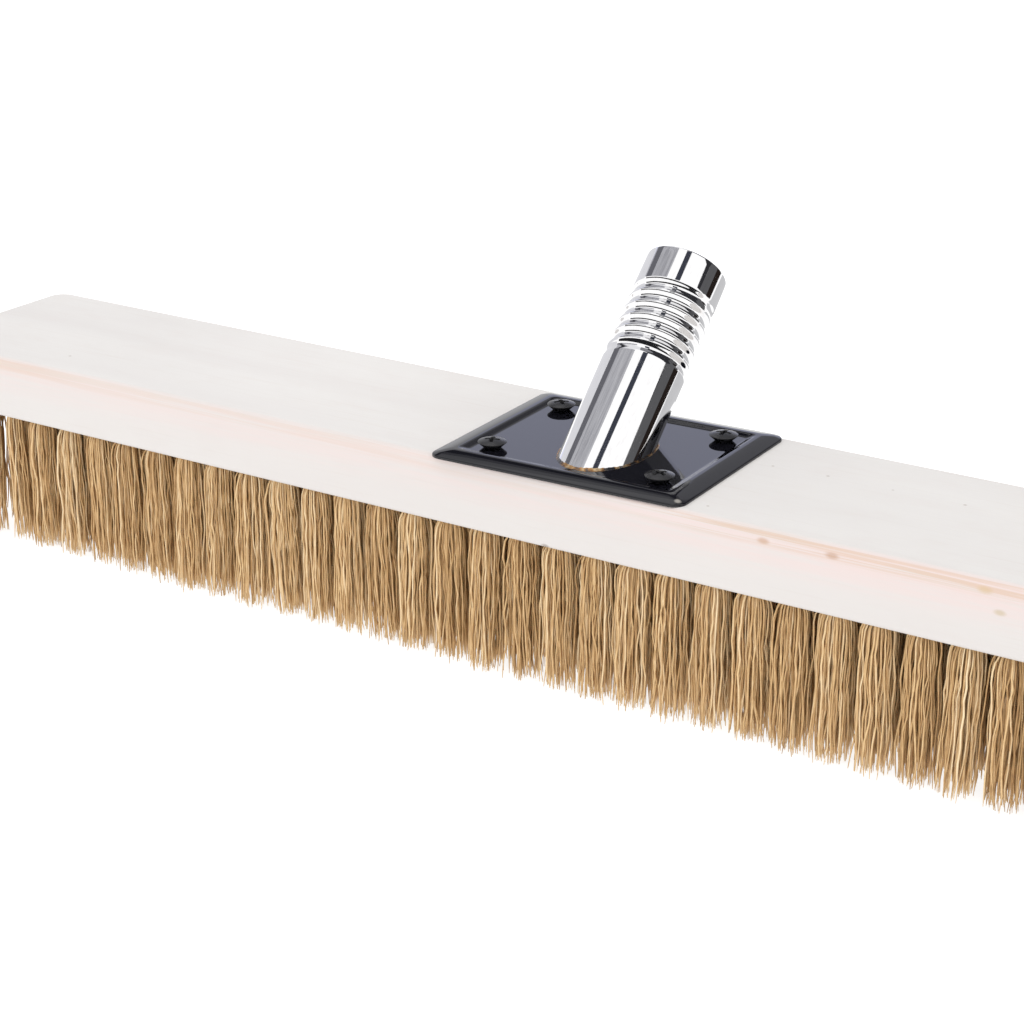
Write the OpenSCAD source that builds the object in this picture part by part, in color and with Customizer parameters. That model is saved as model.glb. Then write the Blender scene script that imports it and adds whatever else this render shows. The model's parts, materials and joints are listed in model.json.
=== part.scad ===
// Straight pool wall brush head: a wooden block set with five rows of natural bristle
// tufts, and a threaded tube socket on a pressed steel plate that takes the pole.
// Origin: the middle of the bristle tips. +X runs along the block, +Y is the side that the
// pole leans to, and +Z goes up from the tips to the plate. Millimetres.

/* [Block] */
// Length of the wooden block
block_l = 500; // [320:10:600]
// Width of the block, front to rear
block_w = 69; // [68:0.5:80]
// Thickness of the block
block_h = 21; // [19:0.5:28]
// Rounding of the block's long and short edges
arris_r = 1.5; // [0.5:0.25:3]
// Rounding of the block's four upright corners
corner_r = 6; // [4:0.5:12]

/* [Bristles] */
// Free length of the bristles below the block
bristle_l = 46; // [30:1:60]
// Distance between tufts along a row
tuft_pitch = 12.6; // [11.6:0.1:14]
// Distance between rows
row_pitch = 13.5; // [12.5:0.1:14]
// Diameter of a tuft where it leaves the block
tuft_d = 6.4; // [5.6:0.1:7]
// Diameter that a tuft spreads to at its tips
tip_d = 9.2; // [7:0.1:11]
// Depth of the blind holes that hold the tufts
hole_depth = 12; // [10:0.5:13]

/* [Socket plate] */
// Width of the plate, along the block
plate_w = 82.4; // [78:0.1:90]
// Depth of the plate, across the block
plate_d = 68.4; // [64:0.1:69]
// Thickness of the pressed sheet
sheet_t = 1.2; // [1:0.1:1.4]
// Height of the raised rim's crest above the wood
rim_h = 2; // [1.8:0.1:3.2]
// Outer corner radius of the plate
plate_corner = 6.5; // [6.3:0.1:12]
// Angle by which the screwed-on plate sits off square
plate_skew = 2.1; // [0:0.1:3]

/* [Tube] */
// Outer diameter of the socket tube
tube_d = 25.4; // [22:0.1:28]
// Wall thickness of the tube
tube_wall = 1.2; // [1:0.1:1.5]
// Angle between the tube and the upright
tube_tilt = 48; // [35:1:50]
// Length of the tube's axis from the panel to the rim
tube_reach = 64.3; // [58:0.1:75]
// Distance between the turns of the rolled thread
thread_pitch = 4.3; // [4:0.1:4.6]
// Depth of the rolled thread
thread_depth = 1; // [0.6:0.1:1.2]

/* [Screws] */
// Diameter of the screw heads
head_d = 8.6; // [7.5:0.1:9]
// Height of the screw heads
head_h = 2.7; // [2.2:0.1:3]
// Outer diameter of the screw thread
screw_d = 4; // [3.5:0.1:4.2]
// Length of the screws below the head
screw_l = 14; // [12:0.5:16]

/* [Hidden] */

$fn = 64;
eps = 0.01;
past = 1;                                  // how far a cutter runs past what it cuts

block_z = bristle_l;                       // underside of the block
top_z = bristle_l + block_h;               // top of the block, where the plate sits

// Tufts: five rows, counted from the front. A row has an odd number of tufts, so that one
// stands on the origin, and is kept as a left, a middle and a right set.
rows = 5;
end_margin = 9;
half_count = floor((block_l / 2 - end_margin) / tuft_pitch);
half_middle = floor(half_count / 3);
whole_row = [-half_count, half_count];
left_set = [-half_count, -half_middle - 1];
middle_set = [-half_middle, half_middle];
right_set = [half_middle + 1, half_count];
hole_d = tuft_d + 0.1;
hole_top = block_z + hole_depth;

// Anchors: a short flat wire driven across the bottom of each hole, which holds the fold.
anchor_l = hole_d + 1.2;
anchor_h = 2;
anchor_t = 0.5;
anchor_z = hole_top - 3.2;

// Plate: a rim that rises from the wood, a crest, and a step down to the sunk panel.
plate_x = 0.6;
plate_y = -1.8;
panel_z = sheet_t;                         // top of the panel above the wood
rim_w = 6.2;
crest_in = 5;
rim_profile = [
    [0, 0],
    [0, 0.9],
    [crest_in - 0.9, rim_h - 0.25],
    [crest_in - 0.3, rim_h],
    [crest_in + 0.2, rim_h],
    [crest_in + 0.6, rim_h - 0.3],
    [rim_w - 0.3, panel_z + 0.15],
    [rim_w, panel_z],
    [rim_w, 0],
    [rim_w - 0.6, 0],
    [crest_in, rim_h - sheet_t],
    [crest_in - 0.7, rim_h - sheet_t],
    [1.6, 0]
];

// Tube: its axis meets the panel off the plate's middle, and leans to +Y.
tube_x = 2.5;
tube_y = -4.9;
tube_r = tube_d / 2;
bore_r = tube_r - tube_wall;
thread_turns = 6;
thread_first = 11.8;                       // from the rim to the middle of the first groove
thread_land = 0.8;                         // flat at the bottom of each groove
thread_flank = 1.35;                       // length of each sloping side
tube_foot = 30;                            // length cut away where the tube meets the wood
rim_round = 0.4;
weld_w = 0.9;
weld_h = 0.9;

// Screws: oval heads that stand proud of the panel, with the same thread cut in the block.
screw_x = 27.5;
screw_y = 20.1;
core_d = screw_d - 1.2;
screw_pitch = 1.6;
point_l = 3;
recess_w = 0.9;
recess_l = 4.4;
recess_depth = 1.5;
neck_d = 4.8;                              // underside of the head, at the panel
head_rim_z = 1.6;                          // lower edge of the head's thin rim
head_rim_t = 0.3;

wood = "antiquewhite";
bristle = "burlywood";

// ---- frames -------------------------------------------------------------------------

module at_plate() {
    translate([plate_x, plate_y, top_z])
        rotate(plate_skew)
            children();
}

module at_tube() {
    at_plate()
        translate([tube_x, tube_y, panel_z])
            rotate([-tube_tilt, 0, 0])
                children();
}

module at_screw(side, end) {
    at_plate()
        translate([side * screw_x, end * screw_y, panel_z])
            children();
}

module at_tufts(row, set = whole_row) {
    for (i = [set[0] : set[1]])
        translate([i * tuft_pitch, (row - (rows + 1) / 2) * row_pitch, 0])
            children();
}

// ---- block --------------------------------------------------------------------------

// A quarter disc that rounds one edge.
module arris_quarter() {
    intersection() {
        circle(r = arris_r);
        square(arris_r);
    }
}

// One upright corner: a quarter of a disc with rounded top and bottom edges.
module block_corner() {
    rotate_extrude(angle = 90)
        union() {
            square([corner_r - arris_r, block_h]);
            translate([0, arris_r])
                square([corner_r, block_h - 2 * arris_r]);
            translate([corner_r - arris_r, block_h - arris_r])
                arris_quarter();
            translate([corner_r - arris_r, arris_r])
                mirror([0, 1])
                    arris_quarter();
        }
}

// A bar between two corners, rounded at top and bottom on both long sides.
module rounded_bar(l, w) {
    rotate([90, 0, 90])
        linear_extrude(l, center = true)
            union() {
                translate([-w / 2 + arris_r, 0])
                    square([w - 2 * arris_r, block_h]);
                translate([-w / 2, arris_r])
                    square([w, block_h - 2 * arris_r]);
                for (side = [-1, 1], level = [0, 1])
                    translate([side * (w / 2 - arris_r), arris_r + level * (block_h - 2 * arris_r)])
                        circle(r = arris_r);
            }
}

module block_blank() {
    translate([0, 0, block_z]) {
        rounded_bar(block_l - 2 * corner_r, block_w);
        rotate(90)
            rounded_bar(block_w - 2 * corner_r, block_l);
        for (a = [0 : 3])
            let (sx = (a == 0 || a == 3) ? 1 : -1, sy = (a < 2) ? 1 : -1)
                translate([sx * (block_l / 2 - corner_r), sy * (block_w / 2 - corner_r), 0])
                    rotate(a * 90)
                        block_corner();
    }
}

module tuft_holes(row) {
    at_tufts(row) {
        translate([0, 0, block_z - past])
            cylinder(h = hole_depth + past, d = hole_d);
        anchor_bar();
    }
}

module block() {
    color(wood)
        difference() {
            block_blank();
            for (row = [1 : rows])
                tuft_holes(row);
            for (side = [-1, 1], end = [-1, 1])
                at_screw(side, end)
                    screw_thread();
        }
}

// ---- tufts and anchors --------------------------------------------------------------

module anchor_bar() {
    translate([-anchor_l / 2, -anchor_t / 2, anchor_z])
        cube([anchor_l, anchor_t, anchor_h]);
}

// A tuft is folded over its anchor: a plug in the hole, and below it the spreading bristles.
module tuft() {
    difference() {
        union() {
            translate([0, 0, block_z - eps])
                cylinder(h = hole_depth + eps, d = tuft_d);
            cylinder(h = block_z, d1 = tip_d, d2 = tuft_d);
        }
        anchor_bar();
    }
}

module tufts(row, set) {
    color(bristle)
        at_tufts(row, set)
            tuft();
}

module anchors(row) {
    color("dimgray")
        at_tufts(row)
            anchor_bar();
}

// ---- socket plate -------------------------------------------------------------------

// One straight run of the rim, from the outer edge inwards.
module rim_run(l) {
    rotate([90, 0, 90])
        linear_extrude(l, center = true)
            polygon(rim_profile);
}

// One corner of the rim, turned about the corner's centre.
module rim_corner() {
    rotate_extrude(angle = 90)
        polygon([for (p = rim_profile) [plate_corner - p[0], p[1]]]);
}

module plate_pressing() {
    run_x = plate_w - 2 * plate_corner;
    run_y = plate_d - 2 * plate_corner;
    for (side = [0, 1])
        rotate(side * 180) {
            translate([0, -plate_d / 2, 0])
                rim_run(run_x);
            rotate(90)
                translate([0, -plate_w / 2, 0])
                    rim_run(run_y);
        }
    for (a = [0 : 3])
        let (sx = (a == 0 || a == 3) ? 1 : -1, sy = (a < 2) ? 1 : -1)
            translate([sx * run_x / 2, sy * run_y / 2, 0])
                rotate(a * 90)
                    rim_corner();
    sunk_panel();
}

// The flat panel inside the rim, with corners to match.
module sunk_panel() {
    panel_w = plate_w - 2 * rim_w;
    panel_d = plate_d - 2 * rim_w;
    panel_r = plate_corner - rim_w;
    linear_extrude(panel_z)
        union() {
            square([panel_w, panel_d - 2 * panel_r], center = true);
            square([panel_w - 2 * panel_r, panel_d], center = true);
            for (sx = [-1, 1], sy = [-1, 1])
                translate([sx * (panel_w / 2 - panel_r), sy * (panel_d / 2 - panel_r)])
                    circle(r = panel_r);
        }
}

module socket_plate() {
    color("black")
        difference() {
            at_plate()
                plate_pressing();
            at_tube()
                cylinder(h = 2 * tube_foot, r = tube_r, center = true);
            for (side = [-1, 1], end = [-1, 1])
                at_screw(side, end)
                    cylinder(h = 4 * sheet_t, d = screw_d + 0.4, center = true);
        }
}

// ---- socket tube --------------------------------------------------------------------

// Height along the axis of the middle of one groove, counted from the rim down.
function groove_at(i) = tube_reach - thread_first - i * thread_pitch;

// One groove of the rolled thread as four points, from the rim side down.
function groove(i, r) = [
    [r, groove_at(i) + thread_land / 2 + thread_flank],
    [r - thread_depth, groove_at(i) + thread_land / 2],
    [r - thread_depth, groove_at(i) - thread_land / 2],
    [r, groove_at(i) - thread_land / 2 - thread_flank]
];

// The outer wall from the rim to the foot, then the inner wall back up.
function reversed(list) = [for (i = [len(list) - 1 : -1 : 0]) list[i]];
outer_wall = [for (i = [0 : thread_turns - 1]) each groove(i, tube_r)];
inner_wall = [for (i = [0 : thread_turns - 1]) each groove(i, bore_r)];
tube_profile = concat(
    [[bore_r, tube_reach], [tube_r - rim_round, tube_reach], [tube_r, tube_reach - rim_round]],
    outer_wall,
    [[tube_r, -tube_foot], [bore_r, -tube_foot]],
    reversed(inner_wall)
);

// Everything of the tube below the wood's surface is cut away.
module below_wood() {
    translate([-block_w, -block_w, top_z - 2 * tube_foot])
        cube([2 * block_w, 2 * block_w, 2 * tube_foot]);
}

module socket_tube() {
    color("silver")
        difference() {
            at_tube()
                rotate_extrude()
                    polygon(tube_profile);
            below_wood();
        }
}

// A thin bead where the tube stands on the panel.
module socket_weld() {
    color("peru")
        difference() {
            intersection() {
                at_tube()
                    cylinder(h = 2 * tube_foot, r = tube_r + weld_w, center = true);
                at_plate()
                    translate([-plate_w / 2, -plate_d / 2, panel_z])
                        cube([plate_w, plate_d, weld_h]);
            }
            at_tube()
                cylinder(h = 4 * tube_foot, r = tube_r, center = true);
        }
}

// ---- screws -------------------------------------------------------------------------

// The threaded shank below the panel's top, with a pointed end.
module screw_thread() {
    ridges = floor((screw_l - point_l - sheet_t) / screw_pitch);
    core = core_d / 2;
    rotate([180, 0, 0])
        rotate_extrude()
            polygon(concat(
                [[0, 0], [core, 0], [core, sheet_t]],
                [for (i = [0 : ridges - 1], k = [0 : 2])
                    [k == 1 ? screw_d / 2 : core, sheet_t + (i + 0.2 + 0.4 * k) * screw_pitch]],
                [[core, screw_l - point_l], [0, screw_l]]
            ));
}

// An oval head: a cone up to a thin rim, and a low dome with a crossed recess.
module oval_head() {
    dome_h = head_h - head_rim_z - head_rim_t;
    dome_r = (head_d * head_d / 4 + dome_h * dome_h) / (2 * dome_h);
    difference() {
        union() {
            cylinder(h = head_rim_z, d1 = neck_d, d2 = head_d);
            intersection() {
                translate([0, 0, head_rim_z])
                    cylinder(h = head_h - head_rim_z, d = head_d);
                translate([0, 0, head_h - dome_r])
                    sphere(r = dome_r);
            }
        }
        for (a = [0, 90])
            rotate(a)
                translate([-recess_l / 2, -recess_w / 2, head_h - recess_depth])
                    cube([recess_l, recess_w, recess_depth + past]);
    }
}

module screw(side, end, turn) {
    color("dimgray")
        at_screw(side, end)
            rotate(turn) {
                oval_head();
                screw_thread();
            }
}

module screw_front_left() { screw(-1, -1, 20); }
module screw_front_right() { screw(1, -1, 65); }
module screw_rear_left() { screw(-1, 1, 40); }
module screw_rear_right() { screw(1, 1, 5); }

block();
socket_plate();
socket_tube();
socket_weld();
screw_front_left();
screw_front_right();
screw_rear_left();
screw_rear_right();
tufts(1, left_set);  // tufts_row1_left
tufts(1, middle_set);  // tufts_row1_middle
tufts(1, right_set);  // tufts_row1_right
tufts(2, left_set);  // tufts_row2_left
tufts(2, middle_set);  // tufts_row2_middle
tufts(2, right_set);  // tufts_row2_right
tufts(3, left_set);  // tufts_row3_left
tufts(3, middle_set);  // tufts_row3_middle
tufts(3, right_set);  // tufts_row3_right
tufts(4, left_set);  // tufts_row4_left
tufts(4, middle_set);  // tufts_row4_middle
tufts(4, right_set);  // tufts_row4_right
tufts(5, left_set);  // tufts_row5_left
tufts(5, middle_set);  // tufts_row5_middle
tufts(5, right_set);  // tufts_row5_right
anchors(1);  // anchors_row1
anchors(2);  // anchors_row2
anchors(3);  // anchors_row3
anchors(4);  // anchors_row4
anchors(5);  // anchors_row5
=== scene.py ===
"""Looks of a straight wooden brush head with a tilted socket tube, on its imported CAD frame."""
import json
import math

import bpy
import numpy as np
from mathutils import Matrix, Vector, geometry


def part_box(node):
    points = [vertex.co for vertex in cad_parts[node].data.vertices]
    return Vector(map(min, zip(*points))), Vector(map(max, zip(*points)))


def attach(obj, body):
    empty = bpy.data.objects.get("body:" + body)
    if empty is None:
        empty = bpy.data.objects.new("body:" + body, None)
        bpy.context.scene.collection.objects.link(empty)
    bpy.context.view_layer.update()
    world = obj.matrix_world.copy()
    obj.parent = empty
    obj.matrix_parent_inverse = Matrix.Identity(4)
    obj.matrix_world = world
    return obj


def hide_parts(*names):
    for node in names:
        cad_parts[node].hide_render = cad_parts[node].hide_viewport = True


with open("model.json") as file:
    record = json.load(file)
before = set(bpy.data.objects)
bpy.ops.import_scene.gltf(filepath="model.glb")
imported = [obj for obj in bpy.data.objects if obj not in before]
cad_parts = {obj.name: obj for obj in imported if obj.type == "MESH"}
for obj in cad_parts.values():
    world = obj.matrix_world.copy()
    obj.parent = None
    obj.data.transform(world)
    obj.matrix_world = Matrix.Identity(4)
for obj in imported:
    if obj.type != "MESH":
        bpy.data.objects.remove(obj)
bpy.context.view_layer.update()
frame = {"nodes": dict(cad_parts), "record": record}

MM = 0.001
NODES = frame["nodes"]
RECORD = frame["record"]


# ---- the frame's own sizes -----------------------------------------------------------

def mount(name):
    return next(m for m in RECORD["mounts"] if m["name"] == name)


BLOCK_LO, BLOCK_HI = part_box("block")
WOOD_Z = BLOCK_HI.z
SHEET = 1.2 * MM
PANEL_Z = WOOD_Z + SHEET
AXIS = Vector(mount("handle_socket")["axis"]).normalized()
TILT = math.acos(AXIS.z)
SKEW = math.atan2(-AXIS.x, AXIS.y)
TUBE_R = 12.7 * MM
WALL = 1.2 * MM
MOUTH = Vector(mount("handle_socket_mouth")["pos_m"])
BASE = MOUTH - AXIS * ((MOUTH.z - PANEL_Z) / AXIS.z)
REACH = (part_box("socket_tube")[1].z - PANEL_Z - TUBE_R * math.sin(TILT)) / math.cos(TILT)
SIDE = Vector((math.cos(SKEW), math.sin(SKEW), 0))
FRONT = AXIS.cross(SIDE)


# ---- camera and light ----------------------------------------------------------------

SENSOR_W = 36
LENS = 83.97
CAMERA_AT = Vector((0.33784, -0.56892, 0.30065))
LOOK_AT = Vector((-0.02018, -0.02157, 0.0488))


def make_camera():
    data = bpy.data.cameras.new("camera")
    data.sensor_width = SENSOR_W
    data.lens = LENS
    data.clip_start = 0.02
    data.clip_end = 60
    cam = bpy.data.objects.new("camera", data)
    cam.location = CAMERA_AT
    cam.rotation_mode = "QUATERNION"
    cam.rotation_quaternion = (LOOK_AT - CAMERA_AT).to_track_quat("-Z", "Y")
    bpy.context.scene.collection.objects.link(cam)
    bpy.context.scene.camera = cam
    return cam


CAMERA = make_camera()


def make_world():
    scene = bpy.context.scene
    scene.view_settings.view_transform = "Standard"
    world = bpy.data.worlds.new("studio")
    world.use_nodes = True
    background = world.node_tree.nodes["Background"]
    background.inputs["Color"].default_value = (1.0, 0.995, 0.99, 1)
    background.inputs["Strength"].default_value = 1.3
    scene.world = world


# ---- node helpers --------------------------------------------------------------------

class Nodes:
    """A material's node tree, with short calls for what is used here."""

    def __init__(self, name):
        self.material = bpy.data.materials.new(name)
        self.material.use_nodes = True
        self.tree = self.material.node_tree
        self.shader = self.tree.nodes["Principled BSDF"]

    def node(self, kind, **values):
        n = self.tree.nodes.new(kind)
        for key, value in values.items():
            setattr(n, key, value)
        return n

    def put(self, socket, value):
        if isinstance(value, bpy.types.NodeSocket):
            self.tree.links.new(value, socket)
        else:
            socket.default_value = value

    def set(self, **values):
        for key, value in values.items():
            self.put(self.shader.inputs[key.replace("_", " ")], value)

    def math(self, operation, a, b=0.0, c=0.0, clamp=False):
        n = self.node("ShaderNodeMath", operation=operation, use_clamp=clamp)
        for socket, value in zip(n.inputs, (a, b, c)):
            self.put(socket, value)
        return n.outputs[0]

    def noise(self, vector, scale, detail=3.0, rough=0.5, distortion=0.0):
        n = self.node("ShaderNodeTexNoise")
        self.put(n.inputs["Vector"], vector)
        n.inputs["Scale"].default_value = scale
        n.inputs["Detail"].default_value = detail
        n.inputs["Roughness"].default_value = rough
        n.inputs["Distortion"].default_value = distortion
        return n.outputs["Fac"]

    def stretch(self, vector, scale):
        n = self.node("ShaderNodeMapping")
        self.put(n.inputs["Vector"], vector)
        n.inputs["Scale"].default_value = scale
        return n.outputs[0]

    def place(self):
        return self.node("ShaderNodeTexCoord").outputs["Object"]

    def split(self, vector):
        n = self.node("ShaderNodeSeparateXYZ")
        self.put(n.inputs[0], vector)
        return n.outputs

    def ramp(self, value, *stops):
        n = self.node("ShaderNodeValToRGB")
        self.put(n.inputs[0], value)
        while len(n.color_ramp.elements) < len(stops):
            n.color_ramp.elements.new(0.5)
        for element, (at, colour) in zip(n.color_ramp.elements, stops):
            element.position = at
            element.color = (*colour, 1)
        return n.outputs[0]

    def range(self, value, low, high, to_low=0.0, to_high=1.0):
        n = self.node("ShaderNodeMapRange", interpolation_type="SMOOTHSTEP")
        for socket, v in zip(n.inputs, (value, low, high, to_low, to_high)):
            self.put(socket, v)
        return n.outputs[0]

    def mix(self, factor, a, b):
        n = self.node("ShaderNodeMix", data_type="RGBA")
        self.put(n.inputs[0], factor)
        for socket, value in zip((n.inputs[6], n.inputs[7]), (a, b)):
            self.put(socket, (*value, 1) if isinstance(value, tuple) else value)
        return n.outputs[2]

    def bump(self, height, depth, strength=1.0):
        n = self.node("ShaderNodeBump")
        n.inputs["Strength"].default_value = strength
        n.inputs["Distance"].default_value = depth
        self.put(n.inputs["Height"], height)
        self.put(self.shader.inputs["Normal"], n.outputs[0])


# ---- materials -----------------------------------------------------------------------

def mark(m, colour, u, at_u, v, at_v, size, tint, where, squeeze):
    """Mixes one soft round mark of a size into the colour, longer along the grain."""
    du = m.math("MULTIPLY", m.math("SUBTRACT", u, at_u), squeeze)
    dv = m.math("SUBTRACT", v, at_v)
    far = m.math("SQRT", m.math("ADD", m.math("MULTIPLY", du, du), m.math("MULTIPLY", dv, dv)))
    inside = m.math("MULTIPLY", m.range(far, size, size * 0.25), where)
    return m.mix(m.math("MULTIPLY", inside, 0.55), colour, tint)


# Marks in the wood. A knot in the front side has its place along the block, its depth below
# the top, its size and its colour. A speck on the top has its place along and across the
# block, and its size.
KNOTS = ((0.0687, 0.0036, 0.0013, (0.50, 0.29, 0.16)),
         (0.0891, 0.0034, 0.0014, (0.46, 0.26, 0.15)),
         (0.1365, 0.0085, 0.0012, (0.50, 0.41, 0.24)),
         (0.1321, 0.0032, 0.0015, (0.60, 0.45, 0.26)),
         (-0.0005, 0.0203, 0.0009, (0.20, 0.16, 0.13)))
SPECKS = ((-0.1935, -0.0213, 0.0007), (0.0482, 0.0105, 0.0006), (0.0651, 0.0116, 0.0007),
          (0.0853, 0.0113, 0.0005), (0.0481, -0.0279, 0.0006), (0.1068, 0.0114, 0.0007))
SPECK_TINT = (0.33, 0.27, 0.23)


def wood_ground(m, place, fine, broad):
    """Pale ground, softly clouded, with faint long grain."""
    cloud = m.noise(m.stretch(place, (60, 110, 110)), 1.0, 3, 0.6)
    colour = m.ramp(broad, (0.3, (0.640, 0.616, 0.600)), (0.5, (0.657, 0.638, 0.622)),
                    (0.72, (0.672, 0.656, 0.640)))
    colour = m.mix(m.range(cloud, 0.45, 0.75, 0.0, 0.35), colour, (0.635, 0.600, 0.580))
    grain = m.range(fine, 0.52, 0.74)
    return m.mix(m.math("MULTIPLY", grain, 0.13), colour, (0.54, 0.47, 0.42))


def wood_sides(m, place, colour, x, depth, side):
    """Makes the long sides pinker in their upper part, with fine lines along them, and paints them a
    little lighter than the top, which is painted light.
    """
    # Painted light: faces by their normal, so the long sides are mixed a quarter of the way to a
    # lighter tone than the top.
    colour = m.mix(m.math("MULTIPLY", side, 0.25), colour, (0.718, 0.668, 0.652))
    wisp = m.noise(m.stretch(place, (16, 300, 520)), 1.0, 4, 0.65, 0.4)
    pink = m.math("MULTIPLY", m.range(depth, 0.016, 0.004), m.range(wisp, 0.34, 0.62, 0.25, 0.8))
    pink = m.math("MULTIPLY", pink, m.range(x, -0.08, 0.12, 0.85, 1.3), clamp=True)
    return m.mix(m.math("MULTIPLY", pink, side), colour, (0.722, 0.612, 0.592))


def wood_streaks(m, place, colour, x, depth, side):
    """Warm streaks just below the top edge, much stronger to the right of the plate."""
    line = m.noise(m.stretch(place, (9, 420, 1150)), 1.0, 4, 0.6, 0.5)
    near_top = m.math("MULTIPLY", m.range(depth, 0.0062, 0.0030), m.range(depth, 0.0, 0.0008))
    strength = m.math("ADD", m.range(x, 0.022, 0.060, 0.20, 0.60), m.range(x, -0.16, -0.21, 0.0, 0.14))
    warm = m.math("MULTIPLY", m.math("MULTIPLY", m.range(line, 0.42, 0.60), near_top), side)
    return m.mix(m.math("MULTIPLY", warm, strength), colour, (0.63, 0.44, 0.31))


def wood_marks(m, colour, x, y, z):
    """Pin knots and a dark nick in the front side, and specks on the top."""
    front = m.math("LESS_THAN", y, BLOCK_LO.y + 0.003)
    for at, down, size, tint in KNOTS:
        colour = mark(m, colour, x, at, z, WOOD_Z - down, size, tint, front, 0.5)
    top = m.math("GREATER_THAN", z, WOOD_Z - 0.0003)
    for at, across, size in SPECKS:
        colour = mark(m, colour, x, at, y, across, size, SPECK_TINT, top, 0.9)
    return colour


def end_grain(m, place, y, z, pore):
    """Growth rings about a centre far below the block, with darker pores."""
    zc = m.math("ADD", z, 0.09)
    yc = m.math("SUBTRACT", y, 0.02)
    radius = m.math("SQRT", m.math("ADD", m.math("MULTIPLY", yc, yc), m.math("MULTIPLY", zc, zc)))
    wobble = m.math("MULTIPLY", m.noise(m.stretch(place, (1, 40, 40)), 1.0), 0.004)
    ring = m.math("SINE", m.math("MULTIPLY", m.math("ADD", radius, wobble), 2300.0))
    colour = m.mix(m.range(ring, 0.1, 1.0), (0.56, 0.52, 0.47), (0.46, 0.40, 0.34))
    return m.mix(m.range(pore, 0.56, 0.70), colour, (0.36, 0.30, 0.25))


def wood_material():
    """Pale planed wood, with end grain where it faces along the block."""
    m = Nodes("pale_wood")
    place = m.place()
    x, y, z = m.split(place)[:3]
    normal = m.split(m.node("ShaderNodeNewGeometry").outputs["Normal"])
    side = m.math("ABSOLUTE", normal[1])
    end = m.range(m.math("ABSOLUTE", normal[0]), 0.75, 0.95)
    depth = m.math("SUBTRACT", WOOD_Z, z)
    fine = m.noise(m.stretch(place, (30, 1100, 1100)), 1.0, 4, 0.6)
    broad = m.noise(m.stretch(place, (7, 45, 45)), 1.0, 4, 0.6, 0.5)
    pore = m.noise(m.stretch(place, (1, 1500, 1500)), 1.0, 2)

    colour = wood_ground(m, place, fine, broad)
    colour = wood_sides(m, place, colour, x, depth, side)
    colour = wood_streaks(m, place, colour, x, depth, side)
    colour = wood_marks(m, colour, x, y, z)
    colour = m.mix(end, colour, end_grain(m, place, y, z, pore))

    m.set(Base_Color=colour, Roughness=m.range(broad, 0.2, 0.8, 0.52, 0.66))
    m.shader.inputs["Specular IOR Level"].default_value = 0.25
    m.bump(m.math("ADD", fine, m.math("MULTIPLY", pore, end)), 0.00008, 0.5)
    return m.material


def bristle_material():
    """Plant fibre, each strand its own tone between brown and straw, mottled along it."""
    m = Nodes("plant_fibre")
    tone = m.node("ShaderNodeAttribute", attribute_name="tone").outputs["Fac"]
    place = m.place()
    along = m.noise(m.stretch(place, (650, 650, 260)), 1.0, 4, 0.65)
    value = m.math("ADD", tone, m.math("MULTIPLY", m.math("SUBTRACT", along, 0.5), 0.95))
    colour = m.ramp(value, (0.0, (0.246, 0.124, 0.044)), (0.35, (0.520, 0.318, 0.137)),
                    (0.65, (0.725, 0.497, 0.250)), (1.0, (0.880, 0.700, 0.450)))
    rough = m.range(along, 0.3, 0.7, 0.42, 0.62)
    m.set(Base_Color=colour, Roughness=rough)
    m.shader.inputs["Specular IOR Level"].default_value = 0.35
    m.bump(m.noise(m.stretch(place, (2500, 2500, 800)), 1.0, 2), 0.00005, 0.6)
    return m.material


def black_material(name, colour, low, high, dust):
    """Black finish on metal: nearly even, with faint unevenness in its gloss."""
    m = Nodes(name)
    place = m.place()
    cloud = m.noise(place, 130.0, 4, 0.6)
    fine = m.noise(place, 1400.0, 2, 0.5)
    lift = m.range(fine, 0.62, 0.80)
    lighter = tuple(c + dust for c in colour)
    finish = m.mix(m.math("MULTIPLY", lift, 0.6), colour, lighter)
    m.set(Base_Color=finish, Roughness=m.range(cloud, 0.3, 0.7, low, high))
    m.shader.inputs["IOR"].default_value = 1.5
    return m, finish


WORN_INSET = (0.0019, 0.0053)


def plate_material():
    """Gloss black, worn through in one spot at the front right corner."""
    m, finish = black_material("gloss_black", (0.006, 0.006, 0.009), 0.025, 0.06, 0.006)
    x, y = m.split(m.place())[:2]
    lo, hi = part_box("socket_plate")
    at_x, at_y = hi.x - WORN_INSET[0], lo.y + WORN_INSET[1]
    worn = mark(m, finish, x, at_x, y, at_y, 0.0013, (0.55, 0.52, 0.48), 1.0, 1.0)
    m.set(Base_Color=worn)
    m.bump(m.noise(m.place(), 90.0, 2), 0.00002, 0.5)
    return m.material


def screw_material():
    m = black_material("black_oxide", (0.016, 0.016, 0.018), 0.22, 0.36, 0.03)[0]
    m.bump(m.noise(m.place(), 2600.0, 3), 0.00004, 0.5)
    return m.material


def chrome_material():
    """Bright tube with faint rub marks along it."""
    m = Nodes("bright_chrome")
    place = m.place()
    cloud = m.noise(place, 160.0, 4, 0.6)
    rub = m.noise(m.stretch(place, (1800, 260, 260)), 1.0, 3, 0.6)
    tone = m.mix(m.range(rub, 0.45, 0.8), (0.79, 0.79, 0.80), (0.72, 0.715, 0.72))
    m.set(Base_Color=tone, Roughness=m.range(cloud, 0.35, 0.75, 0.03, 0.085))
    m.shader.inputs["Metallic"].default_value = 1.0
    m.bump(m.noise(place, 60.0, 2), 0.00002, 0.35)
    return m.material


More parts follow.
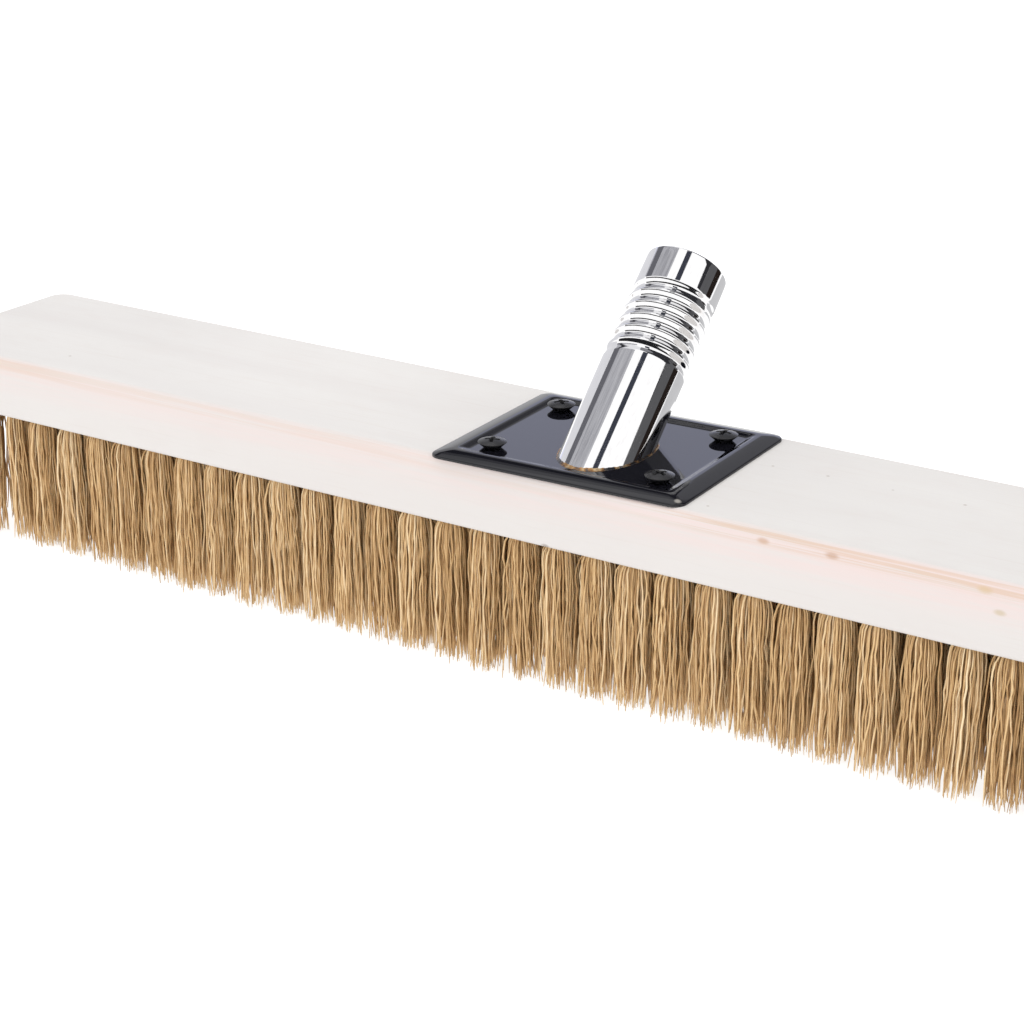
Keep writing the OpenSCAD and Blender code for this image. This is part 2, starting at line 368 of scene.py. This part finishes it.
def weld_material():
    """Dull bead, heat-tinted straw and brown in a few places."""
    m = Nodes("heat_tint")
    place = m.place()
    patch = m.noise(place, 190.0, 3, 0.6)
    colour = m.ramp(patch, (0.36, (0.10, 0.10, 0.11)), (0.46, (0.15, 0.13, 0.12)),
                    (0.52, (0.50, 0.26, 0.10)), (0.58, (0.72, 0.53, 0.30)), (0.68, (0.34, 0.31, 0.29)))
    m.set(Base_Color=colour, Roughness=m.range(patch, 0.3, 0.7, 0.24, 0.42))
    m.shader.inputs["Metallic"].default_value = 1.0
    m.bump(m.noise(place, 1500.0, 3), 0.00008, 0.6)
    return m.material


def anchor_material():
    m = Nodes("drawn_wire")
    lines = m.noise(m.stretch(m.place(), (150, 4000, 4000)), 1.0, 3)
    colour = m.ramp(lines, (0.3, (0.30, 0.30, 0.31)), (0.7, (0.46, 0.46, 0.47)))
    m.set(Base_Color=colour, Roughness=m.range(lines, 0.3, 0.7, 0.28, 0.45))
    m.shader.inputs["Metallic"].default_value = 1.0
    return m.material


# ---- mesh helpers --------------------------------------------------------------------

def add_piece(name, verts, faces, material, nodes, sharp=35.0):
    mesh = bpy.data.meshes.new(name)
    mesh.from_pydata([tuple(v) for v in verts], [], faces)
    mesh.validate()
    mesh.polygons.foreach_set("use_smooth", [True] * len(mesh.polygons))
    mesh.set_sharp_from_angle(angle=math.radians(sharp))
    return finish_piece(name, mesh, material, nodes)


def finish_piece(name, mesh, material, nodes):
    mesh.materials.append(material)
    piece = bpy.data.objects.new(name, mesh)
    bpy.context.scene.collection.objects.link(piece)
    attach(piece, "root")
    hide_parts(*nodes)
    return piece


def skin(first, rows, columns, flip=False):
    """Quads over a grid of rows that close on themselves, whose vertices start at first."""
    faces = []
    for r in range(rows - 1):
        for c in range(columns):
            a = first + r * columns + c
            b = first + r * columns + (c + 1) % columns
            quad = (a, b, b + columns, a + columns)
            faces.append(quad[::-1] if flip else quad)
    return faces


def ease(x):
    x = np.clip(x, 0, 1)
    return x * x * (3 - 2 * x)


# ---- socket tube ---------------------------------------------------------------------

TURNS = 6
PITCH = 4.3 * MM
GROOVE = 1.0 * MM
FIRST = 11.8 * MM
FADE = 0.9
THREAD_LOW = REACH - FIRST - (TURNS - 0.5) * PITCH
START = math.radians(200)


def groove_depth(angle, s):
    """How far the rolled helical groove is pressed in, at an angle about the axis."""
    turn = ((angle - START) % (2 * math.pi)) / (2 * math.pi)
    count = (s - THREAD_LOW) / PITCH - turn
    nearest = np.round(count)
    along = nearest + turn
    envelope = ease(along / FADE + 0.35) * ease((TURNS - along) / FADE - 0.05)
    wave = 0.5 + 0.5 * np.cos(2 * math.pi * (count - nearest))
    inside = (nearest >= 0) & (nearest < TURNS)
    return GROOVE * envelope * np.where(inside, wave ** 0.85, 0)


def tube_rows():
    """Radius and height of each row, from the outer foot over the rim to the inner foot."""
    high = REACH - 7.2 * MM
    low = THREAD_LOW - 3.4 * MM
    thread = list(np.arange(low, high, 0.26 * MM))
    foot = [("foot", f) for f in np.linspace(0, 1, 14)[:-1]]
    bore = TUBE_R - WALL
    rim = [(TUBE_R, s) for s in np.linspace(high, REACH - 0.5 * MM, 6)]
    for k in range(1, 6):
        a = k / 6 * math.pi / 2
        rim.append((TUBE_R - 0.45 * MM * (1 - math.cos(a)), REACH - 0.45 * MM * (1 - math.sin(a))))
    flip = [(TUBE_R + bore - r, s) for r, s in reversed(rim)]
    outer = [(TUBE_R, f) for f in foot] + [(TUBE_R, s) for s in thread] + rim
    inner = flip + [(bore, s) for s in reversed(thread)] + [(bore, f) for f in reversed(foot)]
    return outer + inner, low


def make_tube(material):
    columns = 176
    angles = np.linspace(0, 2 * math.pi, columns, endpoint=False)
    rows, low = tube_rows()
    base, axis, side, front = (np.array(v) for v in (BASE, AXIS, SIDE, FRONT))
    spoke = np.cos(angles)[:, None] * side + np.sin(angles)[:, None] * front
    verts = []
    for radius, s in rows:
        if isinstance(s, tuple):
            foot = (WOOD_Z - base[2] - radius * spoke[:, 2]) / axis[2]
            s = foot + (low - foot) * s[1]
            r = np.full(columns, radius)
        else:
            s = np.full(columns, s)
            r = radius - groove_depth(angles, s)
        verts.append(base + s[:, None] * axis + r[:, None] * spoke)
    count = len(rows)
    faces = skin(0, count, columns)
    last = (count - 1) * columns
    for c in range(columns):
        d = (c + 1) % columns
        faces.append((last + c, last + d, d, c))
    return add_piece("tube_shell", np.concatenate(verts), faces, material,
                     ["socket_tube"], 60)


def beside_tube(height, out, spoke):
    """The point at a height, and a distance out from the tube's wall, along one spoke."""
    base, axis = np.array(BASE), np.array(AXIS)
    r = TUBE_R + out
    s = (height - base[2] - r * spoke[2]) / axis[2]
    return base + s * axis + r * spoke


def make_weld(material):
    """A rippled fillet bead along the line where the tube stands on the panel."""
    columns, ring = 220, 9
    side, front = np.array(SIDE), np.array(FRONT)
    rng = np.random.default_rng(4)
    phases = rng.uniform(0, 6.28, 5)
    verts = []
    for c in range(columns):
        a = 2 * math.pi * c / columns
        spoke = math.cos(a) * side + math.sin(a) * front
        ripple = sum(math.sin(n * a + p) / (1 + n / 9) for n, p in zip((3, 7, 13, 29, 41), phases))
        size = (0.55 + 0.10 * ripple + 0.06 * math.sin(55 * a)) * MM
        size = min(max(size, 0.3 * MM), 0.88 * MM)
        for k in range(ring):
            t = k / (ring - 1)
            angle = t * math.pi / 2
            height = PANEL_Z + size * (1 - math.sin(angle)) * 0.95
            out = size * (1 - math.cos(angle)) * 0.9 + 0.02 * MM * (t < 1)
            verts.append(beside_tube(height, out, spoke))
        verts.append(beside_tube(PANEL_Z - 0.15 * MM, -0.2 * MM, spoke))
    width = ring + 1
    faces = []
    for c in range(columns):
        d = (c + 1) % columns
        for k in range(width):
            n = (k + 1) % width
            faces.append((c * width + k, c * width + n, d * width + n, d * width + k))
    return add_piece("weld_bead", verts, faces, material, ["socket_weld"], 50)


# ---- socket plate --------------------------------------------------------------------

PLATE_W, PLATE_D, PLATE_R = 82.4 * MM, 68.2 * MM, 4.0 * MM
RIM_H, RIM_EDGE, CREST, FLAT, FOOT = 2.0, 0.75, 5.2, 6.0, 8.8


def rim_top():
    """The rim's upper face as inset and height: convex skirt, flat crest, gentle inner slope."""
    line = [(0, 0), (0, 0.5), (0.08, 0.7), (0.22, 0.82)]
    for d in np.linspace(0.45, CREST, 13):
        line.append((d, RIM_EDGE + (RIM_H - RIM_EDGE) * (1 - (1 - d / CREST) ** 1.35)))
    for t in np.linspace(0, 1, 12):
        line.append((FLAT + (FOOT - FLAT) * t, RIM_H - (RIM_H - 1.2) * (1 - math.cos(math.pi * t)) / 2))
    return line + [(FOOT + 0.5, 1.2)]


RIM_TOP = rim_top()
RIM_UNDER = [(5.6, 0.0), (5.0, 0.8), (4.3, 0.8), (1.6, 0.0)]
SCREWS = ["screw_front_left", "screw_front_right", "screw_rear_left", "screw_rear_right"]


AROUND, STRAIGHT = 14, 10
OUTLINE = 4 * (AROUND + STRAIGHT - 1)


def plate_loop(inset):
    """The plate's outline, moved in by an inset, as points about its middle."""
    radius = max(PLATE_R - inset, 2.0 * MM)
    hx, hy = PLATE_W / 2 - inset - radius, PLATE_D / 2 - inset - radius
    corners = [(hx, hy, 0), (-hx, hy, 90), (-hx, -hy, 180), (hx, -hy, 270)]
    arcs = []
    for cx, cy, start in corners:
        a = np.radians(start + np.linspace(0, 90, AROUND))
        arcs.append(np.stack([cx + radius * np.cos(a), cy + radius * np.sin(a)], 1))
    points = []
    for i, arc in enumerate(arcs):
        after = arcs[(i + 1) % 4][0]
        points.extend(arc)
        for k in range(1, STRAIGHT):
            points.append(arc[-1] + (after - arc[-1]) * k / STRAIGHT)
    return np.array(points)


def plate_middle():
    lo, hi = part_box("socket_plate")
    return (lo + hi) / 2


def to_plate(points):
    """Points about the plate's middle, turned by its skew and put in place."""
    mid = plate_middle()
    c, s = math.cos(SKEW), math.sin(SKEW)
    points = np.asarray(points)
    return np.stack([mid.x + c * points[:, 0] - s * points[:, 1],
                     mid.y + s * points[:, 0] + c * points[:, 1],
                     WOOD_Z + points[:, 2]], 1)


def from_plate(p):
    mid = plate_middle()
    c, s = math.cos(SKEW), math.sin(SKEW)
    x, y = p[0] - mid.x, p[1] - mid.y
    return np.array([c * x + s * y, -s * x + c * y])


def panel_holes():
    """The tube's ellipse and the four screw holes, as outlines about the plate's middle."""
    centre = from_plate(BASE)
    a = np.linspace(0, 2 * math.pi, 72, endpoint=False)
    long_r = TUBE_R / math.cos(TILT)
    holes = [centre + np.stack([TUBE_R * np.cos(a), long_r * np.sin(a)], 1)]
    small = np.linspace(0, 2 * math.pi, 24, endpoint=False)
    for name in SCREWS:
        lo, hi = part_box(name)
        spot = from_plate((lo + hi) / 2)
        holes.append(spot + 2.2 * MM * np.stack([np.cos(small), np.sin(small)], 1))
    return holes


def inside(point, loop):
    x, y = point
    x1, y1 = loop[:, 0], loop[:, 1]
    x2, y2 = np.roll(x1, -1), np.roll(y1, -1)
    cross = ((y1 > y) != (y2 > y)) & (x < (x2 - x1) * (y - y1) / (y2 - y1 + 1e-15) + x1)
    return bool(cross.sum() % 2)


def rim_skin(section):
    """One face of the rim: loops of the outline, moved in and up as its section says."""
    loops = [np.column_stack([plate_loop(d * MM), np.full(OUTLINE, z * MM)]) for d, z in section]
    return np.concatenate(loops)


def panel_face(outline, holes, level, flip):
    """The flat panel inside an outline and around the holes, as vertices and triangles."""
    points = [Vector(p) for p in outline] + [Vector(p) for h in holes for p in h]
    edges, index = [], 0
    for loop in [outline] + holes:
        n = len(loop)
        edges += [(index + i, index + (i + 1) % n) for i in range(n)]
        index += n
    flat, _, tris, *_ = geometry.delaunay_2d_cdt(points, edges, [], 1, 1e-9)
    flat = np.array([(p[0], p[1]) for p in flat])
    keep = [t for t in tris if not any(inside(flat[list(t)].mean(0), h) for h in holes)]
    verts = np.column_stack([flat, np.full(len(flat), level)])
    return verts, [t[::-1] if flip else t for t in keep]


def make_plate(material):
    top, under = rim_skin(RIM_TOP), rim_skin(RIM_UNDER)
    faces = skin(0, len(RIM_TOP), OUTLINE) + skin(len(top), len(RIM_UNDER), OUTLINE)
    last = len(top) + len(under) - OUTLINE
    for c in range(OUTLINE):
        d = (c + 1) % OUTLINE
        faces.append((last + c, last + d, d, c))
    holes = panel_holes()
    verts = np.concatenate([top, under])
    for outline, level, flip in ((top[-OUTLINE:, :2], SHEET, False), (under[:OUTLINE, :2], 0.0, True)):
        more, tris = panel_face(outline, holes, level, flip)
        faces += [tuple(len(verts) + i for i in t) for t in tris]
        verts = np.concatenate([verts, more])
    for hole in holes:
        n = len(hole)
        faces += skin(len(verts), 2, n, True)
        verts = np.concatenate([verts, np.column_stack([hole, np.zeros(n)]),
                                np.column_stack([hole, np.full(n, SHEET)])])
    return weld_and_add("plate_pressing", to_plate(verts), faces, material)


def weld_and_add(name, verts, faces, material):
    """Joins the vertices that meet, so that the pressing is one closed skin."""
    keys, order, remap = {}, [], []
    for v in verts:
        key = tuple(np.round(v * 1e7).astype(int))
        if key not in keys:
            keys[key] = len(order)
            order.append(v)
        remap.append(keys[key])
    joined = []
    for face in faces:
        ids = [remap[i] for i in face]
        ids = [i for k, i in enumerate(ids) if i != ids[k - 1]]
        if len(set(ids)) > 2:
            joined.append(tuple(ids))
    return add_piece(name, order, joined, material, ["socket_plate"], 50)


# ---- screws --------------------------------------------------------------------------

HEAD_R, HEAD_H = 4.3, 2.7
RIM_LOW, RIM_HIGH, NECK_R = 1.6, 1.9, 2.4
DOME_R = (HEAD_R ** 2 + (HEAD_H - RIM_HIGH) ** 2) / (2 * (HEAD_H - RIM_HIGH))


def recess(x, y):
    """Depth of the crossed recess, in mm: four tapered arms and a deeper middle."""
    depth = np.zeros_like(x)
    for u, v in ((x, y), (y, x)):
        arm = ease((2.35 - np.abs(u)) / 0.35) * ease((0.62 - np.abs(v)) / 0.22)
        depth = np.maximum(depth, arm * (1.25 - 0.18 * np.abs(u)))
    middle = ease((1.15 - np.hypot(x, y)) / 0.5) * 1.55
    return np.maximum(depth, middle)


def screw_rows(columns):
    """Rows of a screw from the middle of its head to its point, in mm, as arrays."""
    a = np.linspace(0, 2 * math.pi, columns, endpoint=False)
    rows = []
    edge = HEAD_R - 0.15
    for r in np.concatenate([np.linspace(0.06, 2.7, 42), np.linspace(2.85, edge, 7)]):
        dome = HEAD_H - (DOME_R - math.sqrt(DOME_R ** 2 - r * r))
        x, y = r * np.cos(a), r * np.sin(a)
        rows.append((np.full(columns, r), dome - recess(x, y)))
    top = HEAD_H - (DOME_R - math.sqrt(DOME_R ** 2 - edge ** 2))
    for k in range(1, 9):
        t = k / 8 * math.pi
        rows.append((np.full(columns, edge + 0.15 * math.sin(t)),
                     np.full(columns, top + (RIM_LOW + 0.03 - top) * (1 - math.cos(t)) / 2)))
    for t in (0.04, 0.35, 0.7, 1.0):
        rows.append((np.full(columns, edge + (NECK_R - edge) * t), np.full(columns, RIM_LOW * (1 - t))))
    rows.append((np.full(columns, 1.4), np.zeros(columns)))
    for z in np.arange(-0.3, -13.6, -0.2):
        count = (z + 1.4) / 1.6 - a / (2 * math.pi)
        ridge = np.maximum(0, 1 - np.abs(count - np.round(count)) / 0.34)
        taper = min(1.0, (14 + z) / 3)
        grow = ease((-z - 1.2) / 1.5) * taper
        rows.append(((1.4 * taper + 0.6 * ridge * grow), np.full(columns, z)))
    rows.append((np.full(columns, 0.02), np.full(columns, -14.0)))
    return a, rows


def make_screw(name, turn, material):
    columns = 96
    a, rows = screw_rows(columns)
    lo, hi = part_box(name)
    mid = (lo + hi) / 2
    turn = SKEW + math.radians(turn)
    verts = []
    for r, z in rows:
        verts.append(np.stack([mid.x + r * MM * np.cos(a + turn), mid.y + r * MM * np.sin(a + turn),
                               PANEL_Z + z * MM], 1))
    faces = skin(0, len(rows), columns, True)
    faces.append(tuple(range(columns)))
    last = (len(rows) - 1) * columns
    faces.append(tuple(range(last + columns - 1, last - 1, -1)))
    return add_piece(name.replace("screw_", "oval_screw_"), np.concatenate(verts), faces,
                     material, [name], 40)


# ---- bristles ------------------------------------------------------------------------

HAIRPINS = 48            # folded fibres in a tuft
STRAND = 4               # sides of a fibre
LEG = 13                 # points along each leg of a fibre
TUFTS = 13               # tufts in one set
SPARSE = 4               # a left set's first SPARSE - row tufts are thin
REACH_OUT = 8.2 * MM     # the farthest that a fibre goes from its tuft's axis
HOLE_R = 3.05 * MM
BLOCK_Z = BLOCK_LO.z
FOLD_Z = BLOCK_Z + 8.8 * MM


def root_spots(rng):
    """Evenly spread spots in a tuft's hole, those on the one side paired with the other's."""
    n = 2 * HAIRPINS
    i = np.arange(n) + 0.5
    r, a = HOLE_R * np.sqrt(i / n), i * 2.399963 + rng.uniform(0, 6.28)
    x, y = r * np.cos(a), r * np.sin(a)
    order = np.argsort(y)
    low, high = order[:HAIRPINS], order[HAIRPINS:]
    low, high = low[np.argsort(x[low])], high[np.argsort(x[high])]
    x = x + rng.normal(0, 0.08 * MM, n)
    return (x[low], np.minimum(y[low], -0.5 * MM)), (x[high], np.maximum(y[high], 0.5 * MM))


def leg_points(x, y, lean, fan, rng):
    """One leg of each hairpin, from its tip up to the block, with its points closer up there."""
    n = len(x)
    t = 1 - (1 - np.linspace(0, 1, LEG)[None, :]) ** 1.5
    tip_z = np.clip(np.abs(rng.normal(0, 1.2 * MM, n)) + rng.uniform(0.05, 0.9, n) * MM, 0, 9 * MM)
    short = rng.random(n) < 0.06
    tip_z = np.where(short, tip_z + rng.uniform(3, 14, n) * MM, tip_z)
    spread = rng.normal(1.72, 0.20, n) * fan
    z = tip_z[:, None] + (BLOCK_Z - tip_z)[:, None] * t
    down = 1 - (z / BLOCK_Z)
    swell = 1 - (1 - down) ** rng.uniform(12, 38, n)[:, None]
    drift = down ** rng.uniform(1.0, 1.8, n)[:, None]
    stray = rng.normal(0, 0.55 * MM, (2, n)) * np.where(rng.random(n) < 0.10, 2.6, 1.0)
    out = 1 + (spread - 1)[:, None] * swell
    wave = rng.uniform(0.12, 0.50, (2, n, 1)) * MM
    length = rng.uniform(17, 40, (2, n, 1)) * MM
    phase = rng.uniform(0, 6.28, (2, n, 1))
    sway = wave * np.sin(2 * math.pi * z[None] / length + phase) * ease(down * 3)[None]
    crinkle = rng.normal(0, 0.15 * MM, (2, n, LEG)) * ease(down * 5)[None]
    px = x[:, None] * out + (stray[0] + lean[0])[:, None] * drift + sway[0] + crinkle[0]
    py = y[:, None] * out + (stray[1] + lean[1])[:, None] * drift + sway[1] + crinkle[1]
    wide = np.maximum(np.hypot(px, py) / REACH_OUT, 1)
    px, py = px / wide, py / wide
    return np.stack([px, py, z], -1)


def fold_points(low, high):
    """The hidden part of each hairpin: up one side of its anchor, over it, and down."""
    (xa, ya), (xb, yb) = low, high
    rise = 2.35 * MM + 0.25 * (np.abs(ya) - 0.5 * MM)
    mid_x = (xa + xb) / 2
    rows = [(xa, ya, 0 * rise), (xa * 0.6 + mid_x * 0.4, ya * 0.96, rise * 0.75),
            (mid_x, (ya + yb) * 0.3, rise), (xb * 0.6 + mid_x * 0.4, yb * 0.96, rise * 0.75),
            (xb, yb, 0 * rise)]
    return np.stack([np.stack([x, y, FOLD_Z + z], -1) for x, y, z in rows], 1)


def tube_strands(lines, radii, tones):
    """Closed four-sided strands along lines, as vertices, quads and a tone at each vertex."""
    n, rings = lines.shape[:2]
    along = np.gradient(lines, axis=1)
    along /= np.linalg.norm(along, axis=2, keepdims=True) + 1e-12
    across = np.array([1.0, 0, 0]) - along * along[..., :1]
    across /= np.linalg.norm(across, axis=2, keepdims=True) + 1e-12
    other = np.cross(along, across)
    thin = np.ones(rings)
    thin[[0, -1]] = 0.35
    thin[[1, -2]] = 0.85
    size = radii[:, None] * thin[None, :]
    verts = []
    for k in range(STRAND):
        a = math.pi / 4 + k * 2 * math.pi / STRAND
        verts.append(lines + size[..., None] * (math.cos(a) * across + math.sin(a) * other))
    verts = np.stack(verts, 2).reshape(-1, 3)
    index = np.arange(n * rings * STRAND).reshape(n, rings, STRAND)
    a, b = index[:, :-1, :], index[:, 1:, :]
    sides = np.stack([a, np.roll(a, -1, 2), np.roll(b, -1, 2), b], -1).reshape(-1, 4)
    caps = np.concatenate([index[:, 0, ::-1], index[:, -1, :]])
    return verts, np.concatenate([sides, caps]), np.repeat(tones, rings * STRAND)


def quad_mesh(name, verts, quads, tones):
    mesh = bpy.data.meshes.new(name)
    mesh.vertices.add(len(verts))
    mesh.vertices.foreach_set("co", verts.astype(np.float32).ravel())
    mesh.loops.add(quads.size)
    mesh.loops.foreach_set("vertex_index", quads.astype(np.int32).ravel())
    mesh.polygons.add(len(quads))
    mesh.polygons.foreach_set("loop_start", np.arange(0, quads.size, 4, dtype=np.int32))
    mesh.polygons.foreach_set("use_smooth", np.ones(len(quads), bool))
    mesh.update(calc_edges=True)
    tone = mesh.attributes.new("tone", "FLOAT", "POINT")
    tone.data.foreach_set("value", tones.astype(np.float32))
    return mesh


def make_tufts(row, part, seed, material):
    """The folded tufts of one set. Those at the head's front left corner are thinner."""
    node = f"tufts_row{row}_{part}"
    lo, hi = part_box(node)
    tip_r = (hi.y - lo.y) / 2
    spots = np.linspace(lo.x + tip_r, hi.x - tip_r, TUFTS)
    mid_y = (lo.y + hi.y) / 2
    rng = np.random.default_rng(seed)
    parts, first = [], 0
    for k, spot in enumerate(spots):
        sparse = part == "left" and k < SPARSE - row
        low, high = root_spots(rng)
        lean = rng.normal(0, 0.55 * MM, 2)
        fan = 0.78 if sparse else 1.0
        legs = [leg_points(*side, lean, fan, rng) for side in (low, high)]
        line = np.concatenate([legs[0], fold_points(low, high), legs[1][:, ::-1]], 1)
        line += np.array([spot, mid_y, 0])
        radii = rng.uniform(0.20, 0.34, HAIRPINS) * MM
        tuft_tone = rng.normal(0, 0.05)
        tones = np.clip(rng.normal(0.58 + tuft_tone, 0.155, HAIRPINS), 0.02, 0.98)
        keep = slice(None, None, 2 if sparse else 1)
        verts, quads, tone = tube_strands(line[keep], radii[keep], tones[keep])
        parts.append((verts, quads + first, tone))
        first += len(verts)
    verts, quads, tones = (np.concatenate([p[i] for p in parts]) for i in range(3))
    verts[:, 2] = np.maximum(verts[:, 2], 0)
    mesh = quad_mesh(f"bristles_row{row}_{part}", verts, quads, tones)
    return finish_piece(mesh.name, mesh, material, [node])


# ---- floor and the cards around the tube ---------------------------------------------

def grid_mesh(name, points, rows, columns):
    mesh = bpy.data.meshes.new(name)
    faces = [(r * columns + c, r * columns + c + 1, (r + 1) * columns + c + 1, (r + 1) * columns + c)
             for r in range(rows - 1) for c in range(columns - 1)]
    mesh.from_pydata([tuple(p) for p in points], [], faces)
    thing = bpy.data.objects.new(name, mesh)
    bpy.context.scene.collection.objects.link(thing)
    return thing


def make_floor():
    m = Nodes("pale_floor")
    soft = m.noise(m.place(), 2.0, 2)
    m.set(Base_Color=m.ramp(soft, (0.3, (0.35, 0.35, 0.35)), (0.7, (0.37, 0.37, 0.37))))
    m.shader.inputs["Emission Color"].default_value = (1.0, 0.998, 0.995, 1)
    m.shader.inputs["Emission Strength"].default_value = 0.86
    m.shader.inputs["Roughness"].default_value = 0.9
    m.shader.inputs["Specular IOR Level"].default_value = 0.0
    half = 8.0
    floor = grid_mesh("floor", [(-half, -half, 0), (half, -half, 0), (-half, half, 0),
                                (half, half, 0)], 2, 2)
    floor.data.materials.append(m.material)


def bounce(across, tilt):
    """Where the camera sees the room in the tube: -1 is its left side, 1 its right side."""
    middle = BASE + AXIS * (REACH * 0.6)
    back = (CAMERA.location - middle).normalized()
    facing = (back - AXIS * back.dot(AXIS)).normalized()
    right = AXIS.cross(facing)
    normal = right * across + facing * math.sqrt(1 - across * across)
    normal = (normal * math.cos(tilt) + AXIS * math.sin(tilt)).normalized()
    return normal * (2 * back.dot(normal)) - back


def card_material(name, colour, mottle):
    m = Nodes(name)
    m.tree.nodes.remove(m.shader)
    glow = m.node("ShaderNodeEmission")
    cloud = m.noise(m.place(), 38.0, 5, 0.65)
    lighter = tuple(min(1.2, c + mottle) for c in colour)
    m.put(glow.inputs["Color"], m.ramp(cloud, (0.36, colour), (0.66, lighter)))
    out = next(n for n in m.tree.nodes if n.type == "OUTPUT_MATERIAL")
    m.tree.links.new(glow.outputs[0], out.inputs["Surface"])
    return m.material


def gloss_only(card, name, colour, mottle=0.0):
    """Lets a card show in shiny surfaces and nowhere else."""
    card.data.materials.append(card_material(name, colour, mottle))
    card.visible_camera = False
    card.visible_diffuse = False
    card.visible_shadow = False


def make_card(name, across, tilt, distance, colour, mottle):
    """A card that shows in the tube between two places across it."""
    n = 12
    middle = BASE + AXIS * (REACH * 0.6)
    points = [middle + bounce(a, math.radians(t)) * distance
              for t in np.linspace(*tilt, n) for a in np.linspace(*across, n)]
    gloss_only(grid_mesh(name, points, n, n), name, colour, mottle)


def make_wall(name, azimuth, elevation, colour):
    """A part of the studio's wall, by its compass angle and its height, in degrees."""
    n = 14
    points = []
    for e in np.radians(np.linspace(*elevation, n)):
        for a in np.radians(np.linspace(*azimuth, n)):
            way = Vector((math.cos(a) * math.cos(e), math.sin(a) * math.cos(e), math.sin(e)))
            points.append(Vector((BASE.x, BASE.y, PANEL_Z)) + way * WALL_FAR)
    gloss_only(grid_mesh(name, points, n, n), name, colour)


# A card has its places across the tube, the tilt of the tube's surface that shows it, its
# distance, its colour and how mottled it is. A wall has its azimuth, its elevation and colour.
WALL_FAR = 3.0
CARDS = (("card_left_rim", (-0.995, -0.80), (-18, 18), 0.2, (0.85, 0.85, 0.88), 0.0),
         ("card_left_edge", (-0.80, -0.69), (-6, 6), 0.72, (0.16, 0.16, 0.18), 0.0),
         ("card_left", (-0.69, -0.35), (-6, 6), 0.70, (0.34, 0.34, 0.37), 0.32),
         ("card_dark", (-0.16, -0.045), (-9, 9), 0.66, (0.055, 0.06, 0.08), 0.0),
         ("card_right", (0.64, 0.755), (-7, 7), 0.70, (0.022, 0.016, 0.014), 0.0),
         ("card_right_rim", (0.765, 0.995), (-18, 18), 0.2, (0.68, 0.68, 0.69), 0.0),
         ("card_front", (-0.78, 0.62), (-27, -17), 0.85, (0.02, 0.02, 0.022), 0.0))
WALLS = (("wall_low", (97, 170), (3, 22.5), (0.88, 0.91, 1.14)),
         ("wall_mid", (80, 170), (22.5, 33), (0.51, 0.51, 0.545)),
         ("wall_dark", (112, 185), (33, 41), (0.03, 0.03, 0.035)),
         ("wall_dim", (112, 185), (41, 44), (0.28, 0.28, 0.30)),
         ("wall_grey", (112, 185), (44, 47), (0.60, 0.60, 0.62)),
         ("wall_light", (112, 185), (47, 72), (0.95, 0.95, 0.97)),
         ("wall_between", (80, 112), (33, 75), (0.28, 0.28, 0.30)),
         ("wall_right_low", (15, 97), (2, 22.5), (0.12, 0.12, 0.125)),
         ("wall_right", (15, 80), (22.5, 75), (0.035, 0.035, 0.04)))


def make_cards():
    for card in CARDS:
        make_card(*card)
    for wall in WALLS:
        make_wall(*wall)


# ---- assembly ------------------------------------------------------------------------

def paint(node, material):
    NODES[node].data.materials.clear()
    NODES[node].data.materials.append(material)


def main():
    make_world()
    make_floor()
    make_cards()
    paint("block", wood_material())
    wire = anchor_material()
    for row in range(1, 6):
        paint(f"anchors_row{row}", wire)
    make_tube(chrome_material())
    make_weld(weld_material())
    make_plate(plate_material())
    black = screw_material()
    for name, turn in zip(SCREWS, (20, 65, 40, 5)):
        make_screw(name, turn, black)
    fibre = bristle_material()
    for row in range(1, 6):
        for k, part in enumerate(("left", "middle", "right")):
            make_tufts(row, part, 10 * row + k, fibre)


main()
